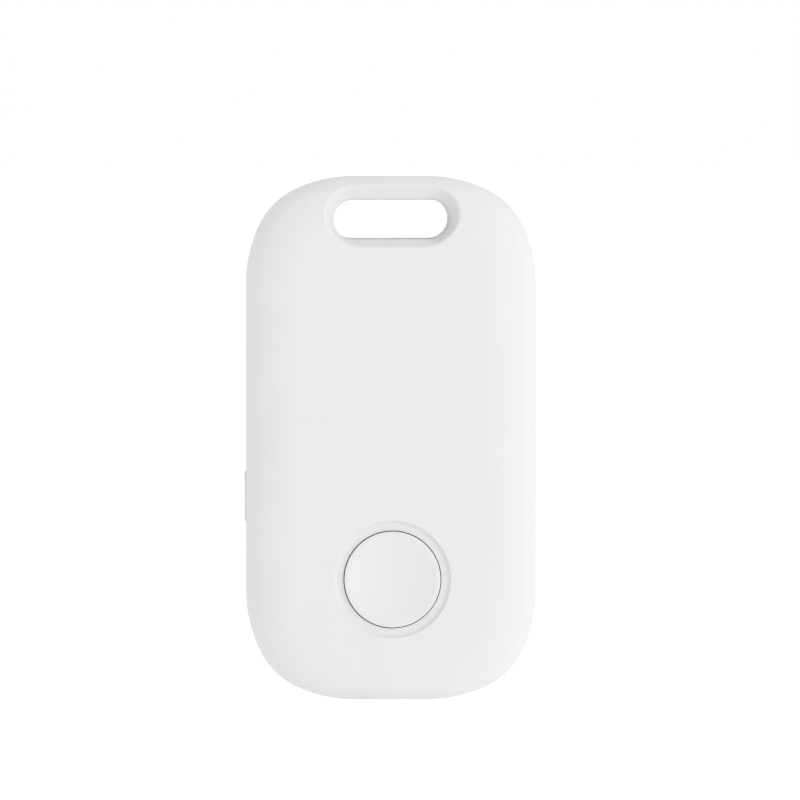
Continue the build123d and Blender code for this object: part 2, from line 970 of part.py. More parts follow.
def make_crystal(crystal):
    """Metal-lidded crystal: a base and a slightly smaller lid."""
    across, up, length, width, height = crystal
    base = (across, up, length, width, height - crystal_lid)
    lid = (across, up, length - crystal_lid_margin, width - crystal_lid_margin, height)
    with BuildPart() as part:
        mounted(base)
        mounted(lid)
    return part.part


def make_boost_coil():
    """Square coil with a round core that raises the sounder's voltage."""
    across, up, length, width, height = boost_coil
    with BuildPart() as coil:
        mounted(boost_coil)
        fillet(coil.edges().filter_by(Axis.Y), radius=boost_coil_corner_radius)
        coil_front = board_front - height
        ring(
            (across, up),
            boost_coil_radius + boost_coil_groove,
            boost_coil_radius,
            coil_front,
            coil_front + boost_coil_groove,
            Mode.SUBTRACT,
        )
    return coil.part


def make_aerial():
    """Ceramic aerial at the board's top edge, with an end cap at each end."""
    across, up, length, width, height = aerial
    with BuildPart() as part:
        mounted((across, up, length - 2 * chip_end, width, height - chip_end_rise))
        for side in (-1, 1):
            place = across + side * (length - chip_end) / 2
            mounted((place, up, chip_end, width, height))
    return part.part


def make_status_lamp():
    """Small lamp beside the button: a base and a clear block."""
    across, up, length, width, height = status_lamp
    with BuildPart() as lamp:
        mounted(status_lamp)
        mounted((across, up, lamp_lens_length, width, height + lamp_lens_height))
    return lamp.part


def make_small_parts(places, size):
    """Group of equal soldered parts, each with raised end caps."""
    length, width, height = size
    with BuildPart() as group:
        for across, up in places:
            mounted((across, up, length - 2 * chip_end, width, height - chip_end_rise))
            for side in (-1, 1):
                mounted((across + side * (length - chip_end) / 2, up, chip_end, width, height))
    return group.part


save(make_front_shell(), "front_shell")
save(make_rear_shell(), "rear_shell")
save(make_case_seal(), "case_seal")
save(make_main_button(), "main_button")
save(make_side_key(), "side_key")
save(make_battery_door(), "battery_door")
save(make_door_seal(), "door_seal")
save(make_cell_can(), "coin_cell_can")
save(make_cell_cap(), "coin_cell_cap")
save(make_cell_grommet(), "coin_cell_grommet")
save(make_battery_cradle(), "battery_cradle")
save(make_negative_contact(), "negative_contact")
save(make_positive_contact(), "positive_contact")
save(make_insulating_film(), "insulating_film")
save(make_circuit_board(), "circuit_board")
save(make_board_screws(), "board_screws")
save(make_front_switch_body(), "front_switch_body")
save(make_front_switch_cover(), "front_switch_cover")
save(make_front_switch_plunger(), "front_switch_plunger")
save(make_side_switch_body(), "side_switch_body")
save(make_side_switch_cover(), "side_switch_cover")
save(make_side_switch_plunger(), "side_switch_plunger")
save(make_sounder_plate(), "sounder_plate")
save(make_sounder_ceramic(), "sounder_ceramic")
save(make_sounder_contacts(), "sounder_contacts")
save(make_radio_chip(), "radio_chip")
save(make_crystal(main_crystal), "main_crystal")
save(make_crystal(clock_crystal), "clock_crystal")
save(make_boost_coil(), "boost_coil")
save(make_aerial(), "aerial")
save(make_status_lamp(), "status_lamp")
save(make_small_parts(capacitor_places, capacitor_size), "capacitors")
save(make_small_parts(resistor_places, resistor_size), "resistors")
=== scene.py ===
"""Looks of a small tracker tag with a lanyard slot, a front button and a side key.

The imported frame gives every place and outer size. Lengths are in metres, X runs across the
tag, Z runs up to its lanyard slot, and its front face looks towards -Y.
"""

from __future__ import annotations

import logging
from collections.abc import Callable, Mapping, Sequence
from dataclasses import dataclass
from enum import Enum
from math import cos, pi, radians, sin, sqrt

import bmesh
import bpy
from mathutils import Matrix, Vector


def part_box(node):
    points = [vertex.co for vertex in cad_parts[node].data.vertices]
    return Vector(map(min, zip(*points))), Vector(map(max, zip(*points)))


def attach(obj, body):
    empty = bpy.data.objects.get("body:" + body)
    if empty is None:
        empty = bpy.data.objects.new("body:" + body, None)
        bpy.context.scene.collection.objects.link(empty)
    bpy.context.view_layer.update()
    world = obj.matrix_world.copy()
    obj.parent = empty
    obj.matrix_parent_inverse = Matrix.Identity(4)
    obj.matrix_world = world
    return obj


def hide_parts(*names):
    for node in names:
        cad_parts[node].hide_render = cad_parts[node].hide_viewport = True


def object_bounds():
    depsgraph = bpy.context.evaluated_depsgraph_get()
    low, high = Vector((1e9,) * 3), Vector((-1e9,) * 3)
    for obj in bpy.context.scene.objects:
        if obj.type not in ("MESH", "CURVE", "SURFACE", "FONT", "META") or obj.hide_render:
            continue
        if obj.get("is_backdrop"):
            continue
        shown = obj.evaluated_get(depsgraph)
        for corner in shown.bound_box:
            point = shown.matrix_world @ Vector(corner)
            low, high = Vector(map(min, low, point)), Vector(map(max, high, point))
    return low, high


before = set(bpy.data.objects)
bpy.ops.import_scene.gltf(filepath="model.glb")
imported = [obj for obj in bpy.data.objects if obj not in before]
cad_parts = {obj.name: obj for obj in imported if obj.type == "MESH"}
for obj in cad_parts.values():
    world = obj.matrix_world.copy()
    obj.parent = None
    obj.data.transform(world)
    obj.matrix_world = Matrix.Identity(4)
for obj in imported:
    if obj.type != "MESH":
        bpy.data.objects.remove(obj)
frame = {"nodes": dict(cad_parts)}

LOG = logging.getLogger("tracker_tag")
MM = 0.001

Colour = tuple[float, float, float, float]


def grey(value: float, warmth: float = 0.0) -> Colour:
    """Linear grey, a little redder and less blue as warmth grows.

    Args:
        value: Linear brightness of the green channel.
        warmth: Share by which red is raised and blue lowered.

    Returns:
        The colour with full alpha.
    """
    return (value * (1 + warmth), value, value * (1 - warmth), 1.0)


def shaded(colour: Colour, share: float) -> Colour:
    """Lighter or darker copy of a colour.

    Args:
        colour: The colour.
        share: What its red, green and blue are multiplied by.

    Returns:
        The copy with full alpha, no channel above one.
    """
    red, green, blue = (min(1.0, channel * share) for channel in colour[:3])
    return (red, green, blue, 1.0)


# ---------------------------------------------------------------- shader workbench


class Wire:
    """One output socket of a node, with the arithmetic that the finishes use."""

    def __init__(self, bench: Bench, socket: bpy.types.NodeSocket) -> None:
        """Keeps the socket and the bench whose tree it belongs to.

        Args:
            bench: The bench that adds the maths nodes.
            socket: The output socket.
        """
        self.bench = bench
        self.socket = socket

    def _maths(self, operation: str, first: Wire | float, second: Wire | float) -> Wire:
        """Adds one Math node.

        Args:
            operation: The node's operation.
            first: Its first value.
            second: Its second value.

        Returns:
            The node's output.
        """
        return self.bench.add("ShaderNodeMath", {"operation": operation}, {0: first, 1: second})

    def __add__(self, other: Wire | float) -> Wire:
        """Sum."""
        return self._maths("ADD", self, other)

    def __radd__(self, other: float) -> Wire:
        """Sum with a number on the left."""
        return self._maths("ADD", other, self)

    def __sub__(self, other: Wire | float) -> Wire:
        """Difference."""
        return self._maths("SUBTRACT", self, other)

    def __rsub__(self, other: float) -> Wire:
        """Difference from a number."""
        return self._maths("SUBTRACT", other, self)

    def __mul__(self, other: Wire | float) -> Wire:
        """Product."""
        return self._maths("MULTIPLY", self, other)

    def __rmul__(self, other: float) -> Wire:
        """Product with a number on the left."""
        return self._maths("MULTIPLY", other, self)

    def __gt__(self, other: Wire | float) -> Wire:
        """One where this is the greater, nought elsewhere."""
        return self._maths("GREATER_THAN", self, other)


class Bench:
    """Node tree of one finish."""

    def __init__(self, name: str) -> None:
        """Starts an empty material.

        Args:
            name: The material's name.
        """
        self.material = bpy.data.materials.new(name)
        self.material.use_nodes = True
        self.tree = self.material.node_tree
        self.tree.nodes.clear()

    def add(
        self,
        kind: str,
        settings: Mapping[str, object] | None = None,
        sockets: Mapping[str | int, Wire | float | Sequence[float]] | None = None,
        output: str | int = 0,
    ) -> Wire:
        """Adds any node: its settings first, then the values or links of its sockets.

        Args:
            kind: The node's type.
            settings: Its properties, with a ramp's stops under "stops".
            sockets: Its inputs, by name or number.
            output: Which of its outputs is wanted.

        Returns:
            That output.
        """
        node = self.tree.nodes.new(kind)
        for name, value in (settings or {}).items():
            if name == "stops":
                self._set_stops(node.color_ramp, value)
            else:
                setattr(node, name, value)
        for key, value in (sockets or {}).items():
            if isinstance(value, Wire):
                self.tree.links.new(value.socket, node.inputs[key])
            else:
                node.inputs[key].default_value = value
        return Wire(self, node.outputs[output])

    @staticmethod
    def _set_stops(ramp: bpy.types.ColorRamp, stops: Sequence[tuple[float, Colour]]) -> None:
        """Gives a new ramp its stops.

        Args:
            ramp: A ramp with its two first stops.
            stops: Place and colour of each stop, in order.
        """
        while len(ramp.elements) < len(stops):
            ramp.elements.new(1.0)
        for element, (place, colour) in zip(ramp.elements, stops):
            element.position = place
            element.color = colour

    def place(self, middle: Sequence[float] = (0, 0, 0), stretch: Sequence[float] = (1, 1, 1)) -> Wire:
        """Object coordinates, moved to a middle and stretched.

        Args:
            middle: Point that becomes the origin.
            stretch: Scale along each axis.

        Returns:
            The coordinates.
        """
        spot = self.add("ShaderNodeTexCoord", output="Object")
        moved = self.add(
            "ShaderNodeVectorMath", {"operation": "SUBTRACT"}, {0: spot, 1: tuple(middle)}
        )
        return self.add("ShaderNodeMapping", {}, {"Vector": moved, "Scale": tuple(stretch)})

    def noise(self, pitch: float, detail: float = 2.0, spot: Wire | None = None) -> Wire:
        """Soft noise about one half.

        Args:
            pitch: Size of its blotches.
            detail: Number of finer layers.
            spot: Coordinates, or None for the object's own.

        Returns:
            The noise, from nought to one.
        """
        where = spot or self.place()
        sockets = {"Vector": where, "Scale": 1 / pitch, "Detail": detail}
        return self.add("ShaderNodeTexNoise", {}, sockets)

    def rings(self, middle: Sequence[float], pitch: float) -> Wire:
        """Fine rings about an axis along Y, as a lathe or a press leaves them.

        Args:
            middle: A point on the axis.
            pitch: Width of one ring.

        Returns:
            The rings, from nought to one.
        """
        flat = self.place(middle, (1, 0, 1))
        radius = self.add("ShaderNodeVectorMath", {"operation": "LENGTH"}, {0: flat}, "Value")
        settings = {"noise_dimensions": "1D"}
        return self.add("ShaderNodeTexNoise", settings, {"W": radius, "Scale": 1 / pitch})

    def worn_edges(self, radius: float) -> Wire:
        """Mask of the sharp edges, one on an edge and nought on flat surfaces.

        Args:
            radius: Reach of the mask.

        Returns:
            The mask.
        """
        rounded = self.add("ShaderNodeBevel", {"samples": 4}, {"Radius": radius})
        straight = self.add("ShaderNodeNewGeometry", output="Normal")
        alike = self.add(
            "ShaderNodeVectorMath", {"operation": "DOT_PRODUCT"}, {0: rounded, 1: straight}, "Value"
        )
        ramp = {"clamp": True}
        sockets = {"Value": alike, "From Min": 0.995, "From Max": 0.85}
        return self.add("ShaderNodeMapRange", ramp, sockets)

    def blend(self, mask: Wire, low: Colour | Wire, high: Colour | Wire) -> Wire:
        """Colour between two colours.

        Args:
            mask: Nought for the low colour, one for the high one.
            low: First colour.
            high: Second colour.

        Returns:
            The blend.
        """
        settings = {"data_type": "RGBA"}
        return self.add("ShaderNodeMix", settings, {0: mask, 6: low, 7: high}, 2)

    def bump(self, height: Wire, depth: float, over: Wire | None = None) -> Wire:
        """Normal of a fine relief.

        Args:
            height: The relief, from nought to one.
            depth: Its real depth.
            over: Normal that it lies on, or None for the surface's own.

        Returns:
            The normal.
        """
        sockets = {"Height": height, "Distance": depth, "Strength": 1.0}
        if over is not None:
            sockets["Normal"] = over
        return self.add("ShaderNodeBump", {}, sockets)

    def finish(self, **sockets: Wire | float | Colour) -> bpy.types.Material:
        """Ends the tree with its surface.

        Args:
            **sockets: Inputs of the surface shader, with _ for a space.

        Returns:
            The material.
        """
        inputs = {name.replace("_", " "): value for name, value in sockets.items()}
        surface = self.add("ShaderNodeBsdfPrincipled", {}, inputs)
        output = self.tree.nodes.new("ShaderNodeOutputMaterial")
        self.tree.links.new(surface.socket, output.inputs["Surface"])
        return self.material


# ---------------------------------------------------------------- finishes


@dataclass(frozen=True)
class Finish:
    """A finish: its name, its colour, how rough it is and the depth of its relief."""

    name: str
    colour: Colour
    roughness: float = 0.5
    relief: float = 0.002 * MM

    def material(self) -> bpy.types.Material:
        """Builds the finish as a material."""
        return self.dress(Bench(self.name))

    def dress(self, bench: Bench) -> bpy.types.Material:
        """Fills a bench with the finish.

        Args:
            bench: An empty bench.

        Returns:
            The material.
        """
        raise NotImplementedError


@dataclass(frozen=True)
class SparkedPlastic(Finish):
    """Moulded plastic with the fine spark-eroded texture of its tool."""

    grain: float = 0.16 * MM
    mottle: float = 0.034
    wear_reach: float = 0.12 * MM
    gloss: float = 0.35
    pit_size: float = 2.7
    pit_share: float = 0.3
    cloud_size: float = 6 * MM
    cloud_share: float = 0.6
    uneven_shine: float = 0.12
    worn_shine: float = 0.08

    def dress(self, bench: Bench) -> bpy.types.Material:
        """Grain in the relief, faint clouds in the colour, smoother worn edges."""
        grain = bench.noise(self.grain, 3.0)
        pits = bench.noise(self.grain * self.pit_size, 1.0)
        clouds = bench.noise(self.cloud_size, 2.0)
        worn = bench.worn_edges(self.wear_reach)
        relief = grain * (1 - self.pit_share) + pits * self.pit_share
        shade = clouds * self.cloud_share + grain * (1 - self.cloud_share)
        dark = shaded(self.colour, 1 - self.mottle)
        light = shaded(self.colour, 1 + self.mottle)
        return bench.finish(
            Base_Color=bench.blend(shade, dark, light),
            Specular_IOR_Level=self.gloss,
            Roughness=self.roughness + (grain - 0.5) * self.uneven_shine - worn * self.worn_shine,
            Normal=bench.bump(relief, self.relief),
        )


@dataclass(frozen=True)
class PlainPlastic(Finish):
    """Inner plastic with faint flow marks and a fine grain."""

    grain: float = 0.08 * MM
    flow: float = 1.1 * MM
    deepest: float = 0.85

    def dress(self, bench: Bench) -> bpy.types.Material:
        """Flow marks in the colour and the roughness, grain in the relief."""
        flow = bench.noise(self.flow, 3.0, bench.place(stretch=(1, 1, 0.25)))
        grain = bench.noise(self.grain)
        deep = shaded(self.colour, self.deepest)
        return bench.finish(
            Base_Color=bench.blend(flow, deep, self.colour),
            Roughness=self.roughness + (flow - 0.5) * 0.15,
            Normal=bench.bump(grain, self.relief),
        )


@dataclass(frozen=True)
class Rubber(Finish):
    """Soft silicone, dull and faintly dusty."""

    dust: float = 0.7 * MM
    skin: float = 0.05 * MM
    dusty: float = 1.6

    def dress(self, bench: Bench) -> bpy.types.Material:
        """Dust in the colour and a fine uneven skin."""
        dust = bench.noise(self.dust, 4.0)
        skin = bench.noise(self.skin)
        pale = shaded(self.colour, self.dusty)
        return bench.finish(
            Base_Color=bench.blend(dust, self.colour, pale),
            Roughness=self.roughness + (skin - 0.5) * 0.1,
            Normal=bench.bump(skin, self.relief),
        )


@dataclass(frozen=True)
class TurnedMetal(Finish):
    """Metal with fine rings about one axis and a few stains."""

    middle: tuple[float, float, float] = (0.0, 0.0, 0.0)
    ring: float = 0.05 * MM
    stain: float = 1.8 * MM
    stained: float = 0.82

    def dress(self, bench: Bench) -> bpy.types.Material:
        """Rings in the relief, stains in the colour and the roughness."""
        rings = bench.rings(self.middle, self.ring)
        stains = bench.noise(self.stain, 4.0)
        dull = shaded(self.colour, self.stained)
        return bench.finish(
            Base_Color=bench.blend(stains, dull, self.colour),
            Metallic=1.0,
            Roughness=self.roughness + (stains - 0.5) * 0.16 + (rings - 0.5) * 0.1,
            Normal=bench.bump(rings, self.relief),
        )


@dataclass(frozen=True)
class RolledMetal(Finish):
    """Sheet metal with fine lines along its rolling direction."""

    lines: tuple[float, float, float] = (0.06, 1.0, 1.0)
    line: float = 0.04 * MM
    tarnish: float = 0.9 * MM
    tarnished: float = 0.8

    def dress(self, bench: Bench) -> bpy.types.Material:
        """Lines in the relief and the roughness, a light tarnish in the colour."""
        lines = bench.noise(self.line, 2.0, bench.place(stretch=self.lines))
        tarnish = bench.noise(self.tarnish, 3.0)
        dull = shaded(self.colour, self.tarnished)
        return bench.finish(
            Base_Color=bench.blend(tarnish, dull, self.colour),
            Metallic=1.0,
            Roughness=self.roughness + (lines - 0.5) * 0.2,
            Normal=bench.bump(lines, self.relief),
        )


@dataclass(frozen=True)
class GrainyResin(Finish):
    """Filled resin, ferrite or ceramic: a speckled, finely grained body."""

    grain: float = 0.05 * MM
    speckle: float = 0.3

    def dress(self, bench: Bench) -> bpy.types.Material:
        """Specks in the colour and grain in the relief."""
        grain = bench.noise(self.grain, 3.0)
        specks = bench.noise(self.grain * 3, 1.0)
        pale = shaded(self.colour, 1 + self.speckle)
        return bench.finish(
            Base_Color=bench.blend(specks, self.colour, pale),
            Roughness=self.roughness + (grain - 0.5) * 0.14,
            Normal=bench.bump(grain, self.relief),
        )


@dataclass(frozen=True)
class GlossyFilm(Finish):
    """Amber film with slow waves in its colour."""

    wave: float = 2.5 * MM
    ripple: float = 0.2 * MM
    deepest: float = 0.7

    def dress(self, bench: Bench) -> bpy.types.Material:
        """Waves in the colour and a glossy coat."""
        waves = bench.noise(self.wave, 2.0)
        fine = bench.noise(self.ripple)
        deep = shaded(self.colour, self.deepest)
        return bench.finish(
            Base_Color=bench.blend(waves, deep, self.colour),
            Roughness=self.roughness + (fine - 0.5) * 0.05,
            Coat_Weight=0.6,
            Normal=bench.bump(waves, self.relief),
        )


@dataclass(frozen=True)
class MaskedBoard(Finish):
    """Glass-cloth board under solder mask, with copper showing faintly through it."""

    weave: float = 0.45 * MM
    copper: Colour = (0.035, 0.20, 0.075, 1.0)
    area: float = 2.4 * MM
    cloud: float = 1.2 * MM

    def dress(self, bench: Bench) -> bpy.types.Material:
        """Cloth in the relief, copper areas and the gaps between them in the colour."""
        settings = {"feature": "DISTANCE_TO_EDGE"}
        cells = bench.add(
            "ShaderNodeTexVoronoi",
            settings,
            {"Vector": bench.place(stretch=(1, 0, 1)), "Scale": 1 / self.area, "Randomness": 0.8},
            "Distance",
        )
        area = cells > 0.07
        threads = {"Vector": bench.place(), "Scale": 0.3 / self.weave}
        across = bench.add("ShaderNodeTexWave", {"bands_direction": "X"}, threads)
        along = bench.add("ShaderNodeTexWave", {"bands_direction": "Z"}, threads)
        cloth = across * 0.5 + along * 0.5
        clouds = bench.noise(self.cloud, 3.0)
        return bench.finish(
            Base_Color=bench.blend(area, self.colour, self.copper),
            Roughness=self.roughness + (clouds - 0.5) * 0.12,
            Coat_Weight=0.3,
            Normal=bench.bump(cloth + area * 1.5, self.relief),
        )


class Slot(Enum):
    """Material slots of the record, each with its finish."""

    CASE = SparkedPlastic("case_plastic", grey(0.658), 0.58, 0.016 * MM)
    SEAL = Rubber("seal_rubber", grey(0.06), 0.62, 0.003 * MM)
    CELL = TurnedMetal("cell_steel", grey(0.60, 0.02), 0.30, 0.0006 * MM, (0, 0, 28.5 * MM))
    INNER = PlainPlastic("inner_plastic", grey(0.50, 0.05), 0.45)
    SPRING = RolledMetal("spring_metal", grey(0.66, 0.05), 0.28, 0.0006 * MM)
    FILM = GlossyFilm("amber_film", (0.55, 0.22, 0.02, 1.0), 0.2, 0.004 * MM)
    BOARD = MaskedBoard("board_laminate", (0.012, 0.11, 0.035, 1.0), 0.38, 0.003 * MM)
    SCREW = RolledMetal("screw_steel", grey(0.42, 0.01), 0.35, 0.0008 * MM, (1.0, 0.1, 1.0))
    SWITCH = GrainyResin("switch_plastic", grey(0.022), 0.42, 0.0012 * MM)
    BRASS = TurnedMetal("sounder_brass", (0.78, 0.56, 0.24, 1.0), 0.3, 0.0006 * MM, (0, 0, 33 * MM))
    ELECTRODE = TurnedMetal(
        "sounder_ceramic", grey(0.72, 0.02), 0.45, 0.0012 * MM, (0, 0, 33 * MM), 0.03 * MM
    )
    CHIP = GrainyResin("chip_resin", grey(0.016), 0.5, 0.0015 * MM)
    FERRITE = GrainyResin("coil_ferrite", grey(0.05, 0.02), 0.6, 0.003 * MM, 0.07 * MM, 0.6)
    AERIAL = GrainyResin("aerial_ceramic", (0.62, 0.66, 0.70, 1.0), 0.35, 0.001 * MM, 0.06 * MM, 0.08)
    LAMP = GrainyResin("lamp_resin", (0.78, 0.72, 0.42, 1.0), 0.18, 0.0004 * MM, 0.2 * MM, 0.05)
    CAPACITOR = GrainyResin("capacitor_ceramic", (0.36, 0.25, 0.15, 1.0), 0.4, 0.001 * MM)


class Wardrobe:
    """Makes each finish once and gives it to the pieces of its slot."""

    def __init__(self) -> None:
        """Builds every finish."""
        self.materials = {slot.value.name: slot.value.material() for slot in Slot}

    def dress_nodes(self, nodes: Mapping[str, bpy.types.Object]) -> None:
        """Gives each carried-over node the finish of its slot.

        Args:
            nodes: The frame's nodes by name.
        """
        for name in sorted(nodes):
            holder = nodes[name].material_slots[0]
            slot_name = holder.material.name.split(".")[0]
            holder.link = "OBJECT"
            holder.material = self.materials[slot_name]
            LOG.info("%s wears %s", name, slot_name)

    def dress(self, piece: bpy.types.Object, slot: Slot, body: str) -> None:
        """Gives a new piece its finish and the body that it rides on.

        Args:
            piece: The finished mesh piece.
            slot: The slot whose finish it takes.
            body: The body that it moves with.
        """
        piece.data.materials.clear()
        piece.data.materials.append(self.materials[slot.value.name])
        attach(piece, body)
        LOG.info("%s wears %s and rides on %s", piece.name, slot.value.name, body)


# ---------------------------------------------------------------- workpieces


class Workpiece:
    """Mesh piece that is shaped with the modelling operators, one step a line."""

    def __init__(self, name: str) -> None:
        """Takes the new primitive as the piece and opens it in edit mode.

        Args:
            name: The piece's name.
        """
        self.piece = bpy.context.object
        self.piece.name = name
        self.piece.data.name = name
        bpy.ops.object.transform_apply(location=True, rotation=True, scale=True)
        bpy.ops.object.mode_set(mode="EDIT")

    @classmethod
    def turned(
        cls, name: str, axis: Vector, stations: Sequence[tuple[float, float]], segments: int
    ) -> Workpiece:
        """Round piece about an axis along Y, drawn out from station to station.

        Args:
            name: The piece's name.
            axis: A point on its axis.
            stations: Radius and place along Y of each ring, from one end to the other.
            segments: Number of facets round it.

        Returns:
            The closed piece, still in edit mode.
        """
        radius, depth = stations[0]
        clear_selection()
        bpy.ops.mesh.primitive_circle_add(
            vertices=segments,
            radius=radius,
            fill_type="NGON",
            location=(axis.x, depth, axis.z),
            rotation=(pi / 2, 0, 0),
        )
        work = cls(name)
        bpy.ops.mesh.select_all(action="SELECT")
        for next_radius, next_depth in stations[1:]:
            work.draw(Vector((0, next_depth - depth, 0)))
            share = next_radius / radius
            middle = (axis.x, next_depth, axis.z)
            bpy.ops.transform.resize(value=(share, 1, share), center_override=middle)
            radius, depth = next_radius, next_depth
        return work

    @classmethod
    def pill(cls, name: str, middle: Vector, length: float, width: float, segments: int) -> Workpiece:
        """Flat pill that faces along X, long way up.

        Args:
            name: The piece's name.
            middle: Its middle.
            length: Its size along Z.
            width: Its size along Y.
            segments: Number of facets round its ends, two more than a multiple of four.

        Returns:
            The face, in edit mode and selected.
        """
        clear_selection()
        bpy.ops.mesh.primitive_circle_add(
            vertices=segments,
            radius=width / 2,
            fill_type="NGON",
            location=middle,
            rotation=(pi / 2, 0, pi / 2),
        )
        work = cls(name)
        work.spread(middle.z, (length - width) / 2, lambda place: True)
        bpy.ops.mesh.select_all(action="SELECT")
        return work

    def pick(self, wanted: Callable[[Vector], bool]) -> None:
        """Selects the vertices at wanted places, and the faces between them.

        Args:
            wanted: Says whether a place is wanted.
        """
        bpy.ops.mesh.select_mode(type="VERT")
        mesh = bmesh.from_edit_mesh(self.piece.data)
        for vertex in mesh.verts:
            vertex.select = wanted(vertex.co)
        mesh.select_flush(False)
        mesh.select_flush(True)
        bmesh.update_edit_mesh(self.piece.data)

    def pick_faces(self, wanted: Callable[[Vector, Vector], bool]) -> None:
        """Selects the faces whose middle and normal are wanted.

        Args:
            wanted: Says whether a middle and a normal are wanted.
        """
        bpy.ops.mesh.select_all(action="DESELECT")
        bpy.ops.mesh.select_mode(type="FACE")
        mesh = bmesh.from_edit_mesh(self.piece.data)
        mesh.normal_update()
        for face in mesh.faces:
            face.select = wanted(face.calc_center_median(), face.normal)
        bmesh.update_edit_mesh(self.piece.data)

    def draw(self, step: Vector) -> None:
        """Extrudes what is selected.

        Args:
            step: How far the new faces move.
        """
        bpy.ops.mesh.extrude_region_move(TRANSFORM_OT_translate={"value": step})

    def spread(self, level: float, step: float, wanted: Callable[[Vector], bool]) -> None:
        """Moves what is above a level up and what is below it down.

        Args:
            level: The level along Z.
            step: How far each half moves.
            wanted: Says which places move at all.
        """
        for side in (1, -1):
            self.pick(lambda place: (place.z - level) * side > 0 and wanted(place))
            bpy.ops.transform.translate(value=(0, 0, side * step))

    def close(self) -> None:
        """Merges doubles, turns all faces outwards and leaves edit mode."""
        bpy.ops.mesh.select_all(action="SELECT")
        bpy.ops.mesh.remove_doubles(threshold=0.0001 * MM)
        bpy.ops.mesh.normals_make_consistent(inside=False)
        bpy.ops.object.mode_set(mode="OBJECT")

    def cut(self, cutter: Workpiece) -> None:
        """Cuts another closed piece out of this one and removes it.

        Args:
            cutter: The piece that is cut away.
        """
        self.activate()
        modifier = self.piece.modifiers.new("cut", "BOOLEAN")
        modifier.operation = "DIFFERENCE"
        modifier.solver = "EXACT"
        modifier.object = cutter.piece
        bpy.ops.object.modifier_apply(modifier=modifier.name)
        bpy.data.objects.remove(cutter.piece)

    def round_edges(self, width: float, segments: int = 3, sharper_than: float = 35.0) -> None:
        """Rounds every edge that is sharper than an angle, and shades the rest smooth.

        Args:
            width: Reach of the rounding.
            segments: Number of facets across it.
            sharper_than: Angle in degrees.
        """
        self.activate()
        modifier = self.piece.modifiers.new("rounding", "BEVEL")
        modifier.width = width
        modifier.segments = segments
        modifier.limit_method = "ANGLE"
        modifier.angle_limit = radians(sharper_than)
        modifier.use_clamp_overlap = True
        bpy.ops.object.modifier_apply(modifier=modifier.name)
        bpy.ops.object.shade_smooth_by_angle(angle=radians(sharper_than))

    def activate(self) -> None:
        """Makes the piece the only one that is selected."""
        clear_selection()
        self.piece.select_set(True)
        bpy.context.view_layer.objects.active = self.piece


def clear_selection() -> None:
    """Deselects everything, so that an operator acts on its own piece alone."""
    bpy.ops.object.select_all(action="DESELECT")


def dish_stations(reach: float, rim_depth: float, fall: float, rings: int) -> list[tuple[float, float]]:
    """Stations of a shallow round dish, from near its middle to its rim.

    Args:
        reach: Radius of the rim.
        rim_depth: Place of the rim along Y.
        fall: Depth of the dish, towards +Y.
        rings: Number of rings.

    Returns:
        Radius and place of each ring.
    """
    ball = (reach**2 + fall**2) / (2 * fall)
    stations = []
    for ring in range(1, rings + 1):
        radius = reach * ring / rings
        depth = rim_depth + sqrt(ball**2 - radius**2) - sqrt(ball**2 - reach**2)
        stations.append((radius, depth))
    return stations


# ---------------------------------------------------------------- sub-assemblies


@dataclass
class FrontButton:
    """Dished cap of the front button, its flange and the stem on the switch."""

    cap_radius: float = 4.8 * MM
    rim: float = 0.35 * MM
    dish: float = 0.58 * MM
    flange: float = 0.4 * MM
    core_outer: float = 4.0 * MM
    core_inner: float = 2.2 * MM
    core_depth: float = 0.45 * MM
    stem_radius: float = 1.4 * MM
    stem: float = 0.11 * MM
    rounding: float = 0.1 * MM
    segments: int = 160

    def build(self, wardrobe: Wardrobe) -> None:
        """Turns the cap about its axis and rounds its edges.

        Args:
            wardrobe: Where its finish comes from.
        """
        low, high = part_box("main_button")
        axis = (low + high) / 2
        flange_radius = (high.x - low.x) / 2
        flange_rear = high.y - self.stem
        flange_front = flange_rear - self.flange
        core_floor = flange_rear - self.core_depth
        stations = dish_stations(self.cap_radius - self.rim, low.y, self.dish, 18)
        stations += [
            (self.cap_radius - self.rim * 0.8, low.y),
            (self.cap_radius, low.y),
            (self.cap_radius, flange_front),
            (flange_radius, flange_front),
            (flange_radius, flange_rear),
            (self.core_outer, flange_rear),
            (self.core_outer, core_floor),
            (self.core_inner, core_floor),
            (self.core_inner, flange_rear),
            (self.stem_radius, flange_rear),
            (self.stem_radius, high.y),
            (self.stem_radius * 0.3, high.y),
        ]
        work = Workpiece.turned("button_cap", axis, stations, self.segments)
        work.close()
        work.round_edges(self.rounding)
        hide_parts("main_button")
        wardrobe.dress(work.piece, Slot.CASE, "button")


